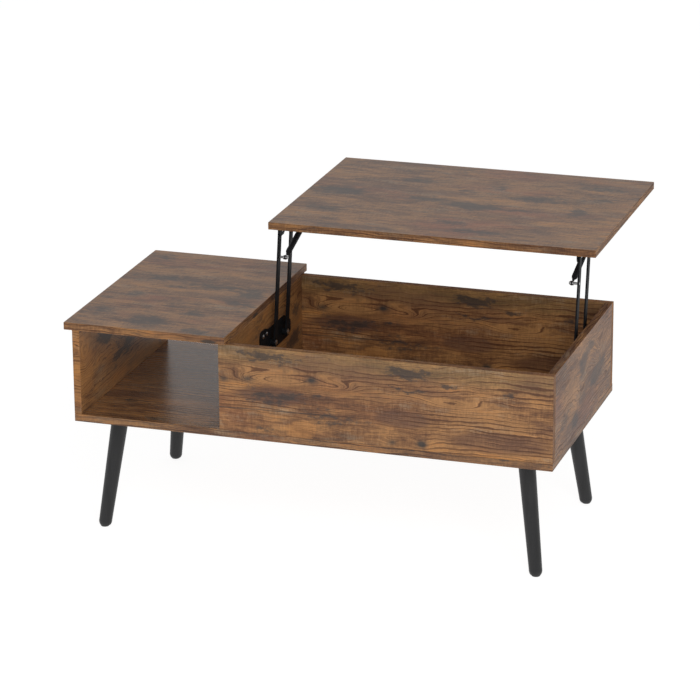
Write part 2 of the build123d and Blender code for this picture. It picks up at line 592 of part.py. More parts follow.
    def spring(self):
        """Extension spring between the arm's pin and the bracket's, as a plain tube with hooks."""
        low = self.point(SPRING_FROM_WALL, *self.arm_pin_centre())
        high = self.point(SPRING_FROM_WALL, *self.anchor_centre())
        along = (Vector(*high) - Vector(*low)).normalized()
        length = (Vector(*high) - Vector(*low)).length
        axis = tuple(along)
        coils = length - 2 * SPRING_HOOK
        solid = rod(shifted(low, axis, SPRING_HOOK), axis, SPRING_RADIUS, coils)
        solid = solid - rod(shifted(low, axis, SPRING_HOOK + SPRING_TUBE_END), axis,
                            SPRING_BORE, coils - 2 * SPRING_TUBE_END)
        ring = SPRING_PIN_RADIUS + LOOSE + SPRING_WIRE
        neck = SPRING_HOOK - ring + SPRING_WIRE
        for centre, direction in ((low, axis), (high, opposite(axis))):
            solid = solid + Plane(origin=centre, z_dir=self.direction).location * Torus(
                ring, SPRING_WIRE)
            solid = solid + rod(shifted(centre, direction, ring), direction, SPRING_WIRE, neck)
        return solid


units = {"left": LiftUnit(DIVIDER_RIGHT, 1), "right": LiftUnit(CASE_RIGHT - BOARD, -1)}
unit_walls = {"left": divider_panel, "right": right_side_panel}
lift_top_cuts = []
for name, unit in units.items():
    # the left front arm carries the lift top; every other upper pivot is a loose fit
    carried = FIT if name == "left" else LOOSE
    write(f"{name}_base_plate", unit.base_plate())
    write(f"{name}_base_rivets", [unit.base_rivet(y, z) for y, z in unit.base_pivots()])
    write(f"{name}_pivot_bushes", [unit.bush(y, z) for y, z in unit.base_pivots()])
    write(f"{name}_stop_pin", unit.stop_pin())
    write(f"{name}_plate_screws", [unit.plate_screw(y, z) for y, z in unit.plate_screw_places()])
    wall_cuts[id(unit_walls[name])] += [unit.plate_screw_hole(y, z)
                                        for y, z in unit.plate_screw_places()]
    write(f"{name}_front_arm", unit.arm(BASE_PIVOT_Y, carried, True))
    write(f"{name}_rear_arm", unit.arm(BASE_PIVOT_Y + ARM_SPACING, LOOSE, False))
    write(f"{name}_arm_spring_pin", unit.spring_pin(unit.arm_pin_centre(), ARM_FROM_WALL))
    write(f"{name}_top_bracket", unit.top_bracket())
    write(f"{name}_bracket_rivets", [unit.bracket_rivet(y, z) for y, z in unit.bracket_pivots()])
    write(f"{name}_bracket_screws", [unit.bracket_screw(x, y)
                                     for x, y in unit.bracket_screw_places()])
    lift_top_cuts += [unit.bracket_screw_hole(x, y) for x, y in unit.bracket_screw_places()]
    write(f"{name}_anchor_pin", unit.spring_pin(unit.anchor_centre(), BRACKET_FROM_WALL))
    write(f"{name}_lift_spring", unit.spring())

# ---- boards, drilled for their hardware ----
write("bottom_board", drilled(bottom_board, bottom_cuts))
write("fixed_top", drilled(fixed_top, fixed_top_cuts))
write("lift_top", drilled(lift_top, lift_top_cuts))
for name, wall in (("left_side_panel", left_side_panel), ("right_side_panel", right_side_panel),
                   ("divider_panel", divider_panel), ("front_panel", front_panel),
                   ("back_panel", back_panel)):
    write(name, drilled(wall, wall_cuts[id(wall)]))
write("case_screws", case_screws)
write("case_dowels", dowels)
write("cam_locks", cams)
write("cam_bolts", cam_bolts)
write("leg_glides", glides)
write("leg_hanger_bolts", hanger_bolts)
write("leg_insert_nuts", insert_nuts)
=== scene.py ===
"""Looks of the lift-top coffee table: rustic laminate, black legs and steel, coiled lift springs."""

import json
import math

import bpy
from mathutils import Matrix, Vector


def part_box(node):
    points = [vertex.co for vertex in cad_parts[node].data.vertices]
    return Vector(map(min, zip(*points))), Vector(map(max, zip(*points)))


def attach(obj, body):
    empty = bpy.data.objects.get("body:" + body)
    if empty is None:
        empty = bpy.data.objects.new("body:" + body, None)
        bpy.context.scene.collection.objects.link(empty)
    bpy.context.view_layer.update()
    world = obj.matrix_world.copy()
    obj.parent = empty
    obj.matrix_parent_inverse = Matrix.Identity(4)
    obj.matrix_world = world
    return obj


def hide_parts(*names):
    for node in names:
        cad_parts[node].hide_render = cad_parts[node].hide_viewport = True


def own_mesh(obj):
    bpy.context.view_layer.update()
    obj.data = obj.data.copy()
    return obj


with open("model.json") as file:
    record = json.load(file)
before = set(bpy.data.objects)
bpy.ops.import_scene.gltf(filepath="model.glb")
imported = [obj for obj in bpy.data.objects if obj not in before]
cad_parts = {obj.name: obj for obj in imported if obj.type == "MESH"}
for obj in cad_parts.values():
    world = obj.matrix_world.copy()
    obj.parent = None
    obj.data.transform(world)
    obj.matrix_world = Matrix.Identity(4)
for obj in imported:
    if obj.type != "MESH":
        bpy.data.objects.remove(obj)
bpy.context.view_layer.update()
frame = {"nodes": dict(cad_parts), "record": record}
nodes = frame["nodes"]


# ---- node helpers ----
def linear(red, green, blue):
    """Scene-linear colour of an 8-bit sRGB one."""
    def channel(value):
        share = value / 255
        return share / 12.92 if share <= 0.04045 else ((share + 0.055) / 1.055) ** 2.4
    return (channel(red), channel(green), channel(blue), 1.0)


class Value:
    """A shader value. Arithmetic on it adds math nodes."""

    def __init__(self, net, socket):
        self.net = net
        self.socket = socket

    def __add__(self, other):
        return self.net.math("ADD", self, other)

    def __sub__(self, other):
        return self.net.math("SUBTRACT", self, other)

    def __mul__(self, other):
        return self.net.math("MULTIPLY", self, other)

    def __truediv__(self, other):
        return self.net.math("DIVIDE", self, other)

    def __neg__(self):
        return self.net.math("MULTIPLY", self, -1.0)

    __radd__ = __add__

    def __rsub__(self, other):
        return self.net.math("SUBTRACT", other, self)


class Net:
    """Node tree of one material."""

    def __init__(self, name):
        self.material = bpy.data.materials.new(name)
        self.material.use_nodes = True
        self.tree = self.material.node_tree
        self.tree.nodes.clear()

    def node(self, kind, **settings):
        made = self.tree.nodes.new(kind)
        for key, value in settings.items():
            setattr(made, key, value)
        return made

    def put(self, value, socket):
        """Links a value to a socket, or sets a plain number or colour on it."""
        if isinstance(value, Value):
            value = value.socket
        if isinstance(value, bpy.types.NodeSocket):
            self.tree.links.new(value, socket)
        else:
            socket.default_value = value

    def math(self, operation, *values):
        made = self.node("ShaderNodeMath", operation=operation)
        for value, socket in zip(values, made.inputs):
            self.put(value, socket)
        return Value(self, made.outputs[0])

    def step(self, value, low, high):
        """Smooth step from 0 at low to 1 at high."""
        made = self.node("ShaderNodeMapRange", interpolation_type="SMOOTHSTEP")
        self.put(value, made.inputs["Value"])
        self.put(low, made.inputs["From Min"])
        self.put(high, made.inputs["From Max"])
        return Value(self, made.outputs[0])

    def clamp(self, value, low, high):
        return self.math("MAXIMUM", self.math("MINIMUM", value, high), low)

    def axes(self, source):
        """The three components of a texture coordinate, such as Object or Normal."""
        coordinate = self.node("ShaderNodeTexCoord")
        parts = self.node("ShaderNodeSeparateXYZ")
        self.put(coordinate.outputs[source], parts.inputs[0])
        return [Value(self, output) for output in parts.outputs]

    def vector(self, x, y, z):
        made = self.node("ShaderNodeCombineXYZ")
        for value, socket in zip((x, y, z), made.inputs):
            self.put(value, socket)
        return made.outputs[0]

    def noise(self, vector, detail, roughness=0.5):
        """Noise from 0 to 1, centred on 0.5."""
        made = self.node("ShaderNodeTexNoise")
        self.put(vector, made.inputs["Vector"])
        made.inputs["Scale"].default_value = 1.0
        made.inputs["Detail"].default_value = detail
        made.inputs["Roughness"].default_value = roughness
        return Value(self, made.outputs[0])

    def pick(self, condition, yes, no):
        """One of two values: yes where condition is 1."""
        made = self.node("ShaderNodeMix", data_type="FLOAT")
        self.put(condition, made.inputs[0])
        self.put(no, made.inputs[2])
        self.put(yes, made.inputs[3])
        return Value(self, made.outputs[0])

    def mix(self, share, first, second, blend="MIX"):
        """Colour between two: the second one where share is 1."""
        made = self.node("ShaderNodeMix", data_type="RGBA", blend_type=blend)
        self.put(share, made.inputs[0])
        self.put(first, made.inputs[6])
        self.put(second, made.inputs[7])
        return made.outputs[2]

    def ramp(self, value, stops):
        made = self.node("ShaderNodeValToRGB")
        self.put(value, made.inputs[0])
        elements = made.color_ramp.elements
        elements[0].position, elements[0].color = stops[0]
        elements[1].position, elements[1].color = stops[-1]
        for position, colour in stops[1:-1]:
            elements.new(position).color = colour
        return made.outputs[0]

    def surface(self, colour, roughness, height, distance, metallic=0.0, specular=0.5):
        """Principled surface with a bump of that height, in metres."""
        bump = self.node("ShaderNodeBump")
        bump.inputs["Strength"].default_value = 1.0
        bump.inputs["Distance"].default_value = distance
        self.put(height, bump.inputs["Height"])
        shader = self.node("ShaderNodeBsdfPrincipled")
        self.put(colour, shader.inputs["Base Color"])
        self.put(roughness, shader.inputs["Roughness"])
        self.put(metallic, shader.inputs["Metallic"])
        self.put(specular, shader.inputs["Specular IOR Level"])
        self.put(bump.outputs[0], shader.inputs["Normal"])
        output = self.node("ShaderNodeOutputMaterial")
        self.put(shader.outputs[0], output.inputs["Surface"])
        return self.material


# ---- rustic laminate: the board and its noises ----
ORANGE = linear(158, 108, 59)
TAN = linear(143, 103, 64)
BROWN = linear(112, 77, 49)
UMBER = linear(80, 54, 38)
PLUM = linear(82, 57, 46)
RUST = linear(72, 43, 27)
OLIVE = linear(119, 96, 61)
SMOKE = linear(50, 44, 42)
ASH = linear(132, 116, 96)
RED = linear(132, 78, 50)
KNOT = linear(40, 41, 41)
WOOD_RAMP = [(0.30, UMBER), (0.43, BROWN), (0.56, TAN), (0.72, ORANGE)]

FACING = 0.7              # a normal's component above which it points that way
EDGE_PRINT = 0.31         # an edge shows the print this far across it
OTHER_FACES = 3.7         # a board's other faces show the print this far along it

# cells in a metre along the grain and across it, offset of the seed, detail, roughness
NOISES = {
    "drift": ((2.6, 9.0), 0.0, 3.0, 0.6),
    "sway": ((11.0, 34.0), 7.3, 3.0, 0.6),
    "ripple": ((45.0, 60.0), 3.1, 3.0, 0.6),
    "line_width": ((4.5, 26.0), 11.0, 3.0, 0.6),
    "line_zone": ((2.4, 13.0), 33.0, 2.0, 0.6),
    "thin_shift": ((9.0, 30.0), 12.0, 3.0, 0.6),
    "thin_fade": ((12.0, 60.0), 14.0, 3.0, 0.6),
    "streak": ((22.0, 330.0), 5.0, 4.0, 0.7),
    "fibre": ((90.0, 1300.0), 9.0, 2.0, 0.6),
    "saw": ((260.0, 48.0), 13.0, 4.0, 0.8),
    "broad": ((4.0, 17.0), 17.0, 3.0, 0.6),
    "middle": ((16.0, 60.0), 19.0, 4.0, 0.7),
    "ragged": ((60.0, 130.0), 29.0, 4.0, 0.75),
    "plum": ((3.0, 11.0), 37.0, 3.0, 0.6),
    "red": ((3.5, 8.0), 53.0, 3.0, 0.6),
    "ash": ((9.0, 30.0), 41.0, 4.0, 0.7),
    "wavy_u": ((14.0, 30.0), 43.0, 4.0, 0.6),
    "wavy_v": ((18.0, 45.0), 47.0, 4.0, 0.6),
    "seam": ((20.0, 3.0), 31.0, 3.0, 0.6),
    "fine_cloud": ((7.0, 24.0), 23.0, 4.0, 0.65),
    "round_cloud": ((8.0, 14.0), 23.0, 4.0, 0.65),
    "side_cloud": ((9.0, 20.0), 23.0, 4.0, 0.65),
}


def bell(net, u, v, centre, radii):
    """Bell-shaped hump of height 1 around a point."""
    du = (u - centre[0]) / radii[0]
    dv = (v - centre[1]) / radii[1]
    return net.math("EXPONENT", -(du * du + dv * dv))


class Board:
    """Where a point lies on a board and in its print: u along the grain, v across it."""

    def __init__(self, net, thin, grain, origin, seed, on_minus):
        self.net = net
        self.seed = seed
        across = ({"x", "y", "z"} - {thin, grain}).pop()
        at = dict(zip("xyz", net.axes("Object")))
        facing = dict(zip("xyz", net.axes("Normal")))
        self.is_face = net.math("GREATER_THAN", net.math("ABSOLUTE", facing[thin]), FACING)
        is_end = net.math("GREATER_THAN", net.math("ABSOLUTE", facing[grain]), FACING)
        edge_v = at[thin] + EDGE_PRINT
        if thin == "x":
            # an upright's front and back edges carry the print level
            u = net.pick(is_end, at[thin], at[grain])
            v = net.pick(net.math("MAXIMUM", self.is_face, is_end), at[across], edge_v)
        else:
            u = net.pick(is_end, at[across], at[grain])
            v = net.pick(self.is_face, at[across], edge_v)
        self.is_edge = 1 - self.is_face
        self.through = at[thin]
        self.placed_u = u - origin[0]
        self.placed_v = v - origin[1]
        is_minus = net.math("LESS_THAN", facing[thin], -FACING)
        # 1 on the face that shows the placed features
        self.here = is_minus if on_minus else net.math("SUBTRACT", self.is_face, is_minus)
        self.u = self.placed_u + (1 - self.here) * OTHER_FACES
        self.v = self.placed_v

    def noise(self, name, v=None):
        """Noise from -0.5 to 0.5. It follows the given v across the grain, or the straight one."""
        (along, across), offset, detail, roughness = NOISES[name]
        v = self.v if v is None else v
        place = self.net.vector(self.u * along, v * across, self.seed + offset)
        return self.net.noise(place, detail, roughness) - 0.5

    def hump(self, centre, radii):
        """Hump of height 1 at a place on the face that shows the placed features."""
        return bell(self.net, self.placed_u, self.placed_v, centre, radii) * self.here


# ---- rustic laminate: the print ----
KNOT_SPREAD = (2.6, 2.2)  # reach of a knot's bend, over its radii along and across
KNOT_BEND = 1.5           # height of the bend, over the knot's radius across
KNOT_RAGGED = 0.6
KNOT_MOST = 0.9

# lines and halos: places within one ring, which runs from 0 to 1; fades and zones: ranges of noise
LINE_START = 0.90
LINE_BLUR = 0.10
LINE_END = (0.92, 1.0)
LINE_LEAST = 0.04
LINE_SPREAD = 1.5
HALO_BEFORE = (0.93, 0.99)
HALO_AFTER = (0.16, 0.03)
HALO_SHARE = 0.22
THIN_LINES = 2.7          # thin lines to a ring
THIN_START = (0.62, 0.82)
THIN_END = (0.84, 1.0)
THIN_FADE = (-0.08, 0.10)
THIN_SHARE = 0.8
ZONE_RANGE = (-0.22, 0.02)
ZONE_LEAST = 0.15

# tint, noise that breaks its outline, that noise's share, range of the step
TONES = {
    "plum": (PLUM, "saw", 0.1, (0.02, 0.20)),
    "red": (RED, "streak", 0.3, (0.0, 0.22)),
    "ash": (ASH, "saw", 0.4, (0.02, 0.25)),
}
OLIVE_BLUR = 0.03
OLIVE_SHARE = 0.5
TINT_BREAK = {"middle": 0.9, "saw": 0.3}
TINT_RANGE = (0.30, 0.62)
SMUDGE_WAVE = (0.10, 0.045)
SMUDGE_SHARE = 0.28
SMUDGE_MIDDLE = 0.5
SMUDGE_BREAK = {"streak": 0.20, "saw": 0.25}
EDGE_MARK_BREAK = 0.5
EDGE_MARK_RANGE = (0.25, 0.55)
SEAM_WAVE = 0.004
SEAM_WIDTH = 0.0011
SEAM_FADE = 0.08
SEAM_SHARE = 0.75
SAW_TONE = 0.22
SHADE = {"fibre": 0.50, "streak": 0.50}
HEIGHT = {"streak": 0.5, "fibre": 0.25, "saw": 0.3, "line": -0.6, "smoke": -0.1}
GLOSS = {"streak": 0.12, "line": 0.08, "edge": 0.30}
PRINT_RELIEF = 0.00008


def bent_grain(board, look, knots, eyes):
    """Place across the print along the grain's own lines, which drift and bend round knots and eyes."""
    field = board.v + board.noise("drift") * look["drift"] + board.noise("sway") * look["sway"]
    for centre, (along, across), _ in knots:
        wide = board.hump(centre, (along * KNOT_SPREAD[0], across * KNOT_SPREAD[1]))
        field = field + wide * (across * KNOT_BEND)
    for centre, radii, lift in eyes:
        field = field + board.hump(centre, radii) * lift
    return field + board.noise("ripple") * look["ripple"]


def grain_noises(board, field):
    """The noises that break up colour, gloss and relief, by name."""
    grain = {name: board.noise(name, field) for name in ("streak", "broad", "middle")}
    grain.update({name: board.noise(name) for name in ("fibre", "saw", "ragged")})
    grain["edge"] = board.is_edge
    return grain


def weighed(grain, weights):
    """Sum of the named noises, each times its weight."""
    total = 0.0
    for name, weight in weights.items():
        total = total + grain[name] * weight
    return total


def grain_lines(board, look, field):
    """(dark lines of the grain, pale halo beside them)."""
    net = board.net
    rings = field / look["spacing"]
    phase = net.math("FRACT", rings)
    width = board.noise("line_width", field) * LINE_SPREAD + look["width"]
    start = LINE_START - net.math("MAXIMUM", width, LINE_LEAST)
    line = net.step(phase, start - LINE_BLUR, start) - net.step(phase, *LINE_END)
    zone = net.step(board.noise("line_zone"), *ZONE_RANGE)
    for centre, radii, strength in look["zones"]:
        zone = zone + board.hump(centre, radii) * strength
    zone = net.clamp(zone, ZONE_LEAST, 1.0)
    halo = (net.step(phase, *HALO_BEFORE) + net.step(phase, *HALO_AFTER)) * zone * HALO_SHARE
    thin_phase = net.math("FRACT", rings * THIN_LINES + board.noise("thin_shift"))
    thin_fade = net.step(board.noise("thin_fade", field), *THIN_FADE)
    thin_line = (net.step(thin_phase, *THIN_START) - net.step(thin_phase, *THIN_END)) * thin_fade
    share = net.pick(board.is_face, look["line"], look["edge_line"])
    return net.math("MAXIMUM", line * zone, thin_line * THIN_SHARE) * share, halo


def wood_colour(board, look, grain, tints):
    """Colour of the wood under its lines and smudges."""
    net = board.net
    tone = weighed(grain, {name: look[name] for name in ("broad", "middle", "streak")})
    colour = net.ramp(tone + grain["saw"] * SAW_TONE + look["tone"], WOOD_RAMP)
    if look["olive"] is not None:
        share = net.step(board.placed_v, look["olive"], look["olive"] + OLIVE_BLUR) * board.here
        colour = net.mix(share * OLIVE_SHARE, colour, OLIVE)
    for name, (tint, breaker, broken, limits) in TONES.items():
        share = net.step(board.noise(name) + grain[breaker] * broken, *limits)
        colour = net.mix(share * look[name], colour, tint)
    # tints at places: tones of the print, and on the left wall an orange painted lit strip near the front
    for centre, radii, strength, tint in tints:
        share = net.step(board.hump(centre, radii) + weighed(grain, TINT_BREAK), *TINT_RANGE)
        colour = net.mix(share * board.here * strength, colour, tint)
    return net.mix(board.is_edge * look["edge_brown"], colour, UMBER)


def smudges_and_painted_shade(board, look, grain, patches):
    """Share of smoke: clouds over the whole board, gathered or cleared at the patches; on the left wall
    the patches also paint shade deeper in and clear a painted lit strip near the front.
    """
    net = board.net
    wavy_u = board.placed_u + board.noise("wavy_u") * SMUDGE_WAVE[0]
    wavy_v = board.placed_v + board.noise("wavy_v") * SMUDGE_WAVE[1]
    cloud = board.noise(look["cloud"]) + grain["ragged"] * look["ragged"]
    cloud = cloud + grain["middle"] * look["middle"] * SMUDGE_MIDDLE + weighed(grain, SMUDGE_BREAK)
    for centre, radii, strength in patches:
        cloud = cloud + bell(net, wavy_u, wavy_v, centre, radii) * board.here * strength * SMUDGE_SHARE
    return net.step(cloud, *look["smoke"])


def with_marks(board, grain, colour, knots, seam, edge_marks):
    """The colour with its knots, its plank seam and the marks on its edges."""
    net = board.net
    for centre, radii, strength in edge_marks:
        mark = bell(net, board.placed_u, board.through, centre, radii) * board.is_edge
        mark = net.step(mark + grain["streak"] * EDGE_MARK_BREAK, *EDGE_MARK_RANGE)
        colour = net.mix(mark * strength, colour, KNOT)
    if seam is not None:
        height, slope, end = seam
        off = board.placed_v - height - board.placed_u * slope + board.noise("seam") * SEAM_WAVE
        off = off / SEAM_WIDTH
        mark = net.math("EXPONENT", -(off * off)) * net.step(board.placed_u, end, end - SEAM_FADE)
        colour = net.mix(mark * board.here * SEAM_SHARE, colour, KNOT)
    if knots:
        dark = 0.0
        for centre, radii, strength in knots:
            dark = dark + board.hump(centre, radii) * strength
        dark = net.math("MINIMUM", dark + grain["ragged"] * dark * KNOT_RAGGED, KNOT_MOST)
        colour = net.mix(dark, colour, KNOT)
    return colour


def laminate(name, thin, grain_axis, origin, seed, look, knots=(), patches=(), eyes=(), tints=(),
             seam=None, on_minus=True, edge_marks=()):
    """Printed laminate on a board that is thin along one axis, with its grain along another.

    Its features are placed in metres from origin, (u, v), on the face that looks to the thin
    axis's minus side, or to its plus side.
    """
    net = Net(name)
    board = Board(net, thin, grain_axis, origin, seed, on_minus)
    field = bent_grain(board, look, knots, eyes)
    grain = grain_noises(board, field)
    grain["line"], halo = grain_lines(board, look, field)
    grain["smoke"] = smudges_and_painted_shade(board, look, grain, patches)
    colour = net.mix(grain["line"], wood_colour(board, look, grain, tints), RUST)
    colour = net.mix(grain["smoke"] * look["smoke_share"], colour, SMOKE)
    colour = with_marks(board, grain, colour, knots, seam, edge_marks)
    shade = 1.0 + weighed(grain, SHADE) + grain["saw"] * look["saw"] + grain["middle"] * look["mottle"]
    shade = shade + halo - board.is_edge * look["edge"]
    colour = net.mix(1.0, colour, net.vector(shade, shade, shade), "MULTIPLY")
    roughness = look["rough"] + weighed(grain, GLOSS)
    return net.surface(colour, roughness, weighed(grain, HEIGHT), PRINT_RELIEF, specular=look["specular"])


# ---- rustic laminate: the boards ----
LOOK = {"drift": 0.040, "sway": 0.010, "ripple": 0.0035, "spacing": 0.0105, "width": 0.10,
        "smoke": (0.08, 0.28), "smoke_share": 0.80, "line": 0.85, "edge_line": 0.85, "edge": 0.0,
        "rough": 0.40, "tone": 0.50, "broad": 0.80, "middle": 0.60, "plum": 0.60, "ash": 0.55,
        "ragged": 0.75, "streak": 0.42, "mottle": 0.20, "red": 0.25, "saw": 0.60, "edge_brown": 0.0,
        "olive": None, "zones": (), "specular": 0.32, "cloud": "fine_cloud"}
PRINT_ZONES = [
    ((0.42, 0.090), (0.32, 0.045), 0.7),
    ((0.10, 0.020), (0.30, 0.040), -0.7),
    ((0.25, 0.160), (0.30, 0.025), -0.5),
    ((0.13, 0.111), (0.12, 0.022), 0.9),
]
PRINT_LOOK = dict(LOOK, saw=0.70, spacing=0.0085, width=0.07, olive=0.125, zones=PRINT_ZONES)
TOP_LOOK = dict(LOOK, smoke=(0.05, 0.42), line=0.42, tone=0.49, width=0.02, cloud="round_cloud",
                rough=0.34, broad=0.65, middle=0.55, ragged=1.15, edge=0.02, streak=0.80,
                mottle=0.62, red=0.80, edge_brown=0.22, saw=0.95)
FLOOR_LOOK = dict(LOOK, rough=0.24, specular=0.5, tone=0.56, mottle=0.45, edge=0.28, plum=0.75,
                  smoke=(0.04, 0.26))
SIDE_LOOK = dict(LOOK, spacing=0.008, line=0.6, smoke=(0.06, 0.30), tone=0.56, sway=0.024,
                 specular=0.2, cloud="side_cloud", middle=0.45)
END_LOOK = dict(SIDE_LOOK, tone=0.42, specular=0.12, smoke=(0.05, 0.34), smoke_share=0.65, line=0.75,
                broad=0.50, middle=0.35, plum=0.80, mottle=0.60, streak=0.75, red=0.40)

# features of the front print: (u, v), (radius along, radius across), strength
KNOTS = [
    ((0.010, 0.105), (0.010, 0.006), 0.8),
    ((0.059, 0.110), (0.012, 0.006), 0.8),
    ((0.190, 0.119), (0.012, 0.007), 1.0),
    ((0.410, 0.013), (0.010, 0.0075), 1.2),
    ((0.352, 0.011), (0.008, 0.005), 0.7),
]
PATCHES = [
    ((0.105, 0.078), (0.065, 0.016), 1.0),
    ((0.377, 0.118), (0.040, 0.010), 1.7),
    ((0.372, 0.150), (0.034, 0.010), 1.7),
    ((0.085, 0.160), (0.030, 0.008), 1.1),
    ((0.082, 0.014), (0.034, 0.012), 1.0),
    ((0.570, 0.030), (0.090, 0.024), -1.3),
    ((0.451, 0.137), (0.024, 0.007), 1.0),
    ((0.583, 0.128), (0.018, 0.006), 0.9),
    ((0.470, 0.098), (0.060, 0.014), -1.6),
    ((0.168, 0.015), (0.040, 0.022), -1.6),
    ((0.040, 0.020), (0.050, 0.018), -1.0),
    ((0.130, 0.111), (0.060, 0.014), -1.4),
]
# (u, v), radii, strength, tint
TINTS = [
    ((0.475, 0.100), (0.062, 0.012), 0.9, TAN),
    ((0.168, 0.015), (0.034, 0.022), 0.45, ORANGE),
    ((0.130, 0.111), (0.065, 0.013), 0.8, TAN),
    ((0.550, 0.070), (0.100, 0.018), 0.6, TAN),
    ((0.560, 0.030), (0.110, 0.022), 0.6, PLUM),
    ((0.110, 0.080), (0.080, 0.020), 0.8, PLUM),
    ((0.370, 0.060), (0.060, 0.020), 0.7, PLUM),
]
# (u, v), radii, how far the grain bends
EYES = [((0.125, 0.111), (0.072, 0.014), 0.048), ((0.240, 0.110), (0.040, 0.010), 0.026),
        ((0.475, 0.098), (0.065, 0.012), 0.020)]
PLANK_SEAM = (0.047, 0.02, 0.26)      # height at the left end, slope, where it ends

FIXED_TOP_PATCHES = [
    ((0.098, 0.327), (0.060, 0.018), 1.6),
    ((0.206, 0.297), (0.055, 0.018), 1.7),
    ((0.150, 0.275), (0.050, 0.010), 1.0),
    ((0.064, 0.220), (0.024, 0.020), 1.2),
    ((0.291, 0.267), (0.036, 0.024), 1.4),
    ((0.294, 0.201), (0.034, 0.022), 1.3),
    ((0.228, 0.122), (0.022, 0.016), 1.6),
    ((0.148, 0.059), (0.050, 0.026), 1.6),
    ((0.290, 0.095), (0.034, 0.010), 1.1),
    ((0.040, 0.092), (0.034, 0.024), 1.2),
    ((0.040, 0.452), (0.034, 0.024), 1.0),
    ((0.270, 0.020), (0.026, 0.016), 1.5),
    ((0.220, 0.400), (0.110, 0.060), -0.8),
]
LIFT_TOP_PATCHES = [
    ((0.361, 0.226), (0.055, 0.020), 2.0),
    ((0.440, 0.218), (0.080, 0.012), 1.2),
    ((0.465, 0.302), (0.090, 0.022), 1.3),
    ((0.376, 0.359), (0.018, 0.014), 1.6),
    ((0.321, 0.327), (0.016, 0.012), 1.6),
    ((0.355, 0.100), (0.045, 0.018), 1.6),
    ((0.574, 0.238), (0.016, 0.034), 1.4),
    ((0.065, 0.259), (0.070, 0.028), 1.5),
    ((0.086, 0.129), (0.045, 0.018), 1.3),
    ((0.201, 0.376), (0.055, 0.024), 1.2),
    ((0.250, 0.250), (0.050, 0.018), 1.2),
    ((0.419, 0.055), (0.050, 0.018), 1.4),
    ((0.573, 0.410), (0.060, 0.020), 1.3),
    ((0.600, 0.330), (0.040, 0.016), 1.1),
    ((0.150, 0.330), (0.070, 0.040), -0.9),
    ((0.560, 0.140), (0.070, 0.040), -0.9),
]
FIXED_TOP_MARKS = [((0.300, 0.426), (0.016, 0.0035), 0.8)]

# the uprights' features are at their places in the row frame, (y, z)
LEFT_EYES = [((-0.345, 0.362), (0.045, 0.030), 0.050), ((-0.262, 0.385), (0.050, 0.026), 0.040),
             ((-0.120, 0.340), (0.070, 0.022), 0.030)]
# painted light: an orange tint on the left wall's inner face near the front, the strip that light reaches
# through the cubby's front opening
LEFT_PAINTED_LIT_STRIP = [((-0.345, 0.325), (0.045, 0.060), 0.45, ORANGE)]
# smudges on the left wall's inner face, partly painted shade deeper in, where the face lies in shade; the
# cleared patch at the front belongs to the painted lit strip
LEFT_SMUDGES_AND_PAINTED_SHADE = [((-0.230, 0.370), (0.040, 0.020), 1.6), ((-0.080, 0.390), (0.080, 0.024), 1.6),
                ((-0.150, 0.310), (0.060, 0.020), 1.2), ((-0.345, 0.330), (0.040, 0.060), -1.4)]
DIVIDER_EYES = [((0.030, 0.350), (0.050, 0.026), 0.040)]
DIVIDER_PATCHES = [((0.050, 0.362), (0.030, 0.018), 1.4), ((0.030, 0.300), (0.050, 0.016), 1.2),
                   ((-0.060, 0.360), (0.050, 0.040), -1.2)]
END_EYES = [((-0.008, 0.358), (0.050, 0.022), 0.034), ((-0.170, 0.310), (0.080, 0.020), 0.020)]
END_TINTS = [((-0.230, 0.330), (0.070, 0.050), 0.5, TAN)]
END_PATCHES = [((-0.147, 0.368), (0.030, 0.016), 2.0), ((-0.040, 0.316), (0.045, 0.018), 2.0),
               ((-0.205, 0.276), (0.034, 0.013), 2.0), ((-0.092, 0.392), (0.040, 0.012), 1.4),
               ((-0.290, 0.300), (0.030, 0.016), 1.0), ((0.040, 0.270), (0.040, 0.020), -1.2),
               ((-0.260, 0.360), (0.060, 0.025), -1.2)]

ROW_ORIGIN = (0.0, 0.0)

front_low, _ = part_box("front_panel")
fixed_low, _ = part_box("fixed_top")
lift_low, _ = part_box("lift_top")

printed = laminate("laminate_front_print", "y", "x", (front_low.x, front_low.z), seed=1.7,
                   look=PRINT_LOOK, knots=KNOTS, patches=PATCHES, eyes=EYES, tints=TINTS,
                   seam=PLANK_SEAM)
bottom = laminate("laminate_bottom", "z", "x", ROW_ORIGIN, seed=41.0, look=FLOOR_LOOK, on_minus=False)
top_left = laminate("laminate_fixed_top", "z", "x", (fixed_low.x, fixed_low.y), seed=12.0,
                    look=TOP_LOOK, patches=FIXED_TOP_PATCHES, on_minus=False,
                    edge_marks=FIXED_TOP_MARKS)
top_right = laminate("laminate_lift_top", "z", "x", (lift_low.x, lift_low.y), seed=27.0,
                     look=TOP_LOOK, patches=LIFT_TOP_PATCHES, on_minus=False)
# the left wall's tints and patches paint light near its front and shade deeper in
left_wall = laminate("laminate_left_wall", "x", "y", ROW_ORIGIN, seed=63.0, look=SIDE_LOOK,
                     patches=LEFT_SMUDGES_AND_PAINTED_SHADE, eyes=LEFT_EYES, tints=LEFT_PAINTED_LIT_STRIP, on_minus=False)
divider_wall = laminate("laminate_divider", "x", "y", ROW_ORIGIN, seed=58.0, look=SIDE_LOOK,
                        patches=DIVIDER_PATCHES, eyes=DIVIDER_EYES, on_minus=False)
right_end = laminate("laminate_right_end", "x", "y", ROW_ORIGIN, seed=74.0, look=END_LOOK,
                     patches=END_PATCHES, eyes=END_EYES, tints=END_TINTS, on_minus=False)


# ---- paint, metals and plastic ----
COAT_GRIT = 0.4           # the fine noise's share in the colour
COAT_RANGE = (0.35, 0.7)
COAT_GLOSS = (0.16, 0.10)  # spread of the roughness by the coarse and the fine noise


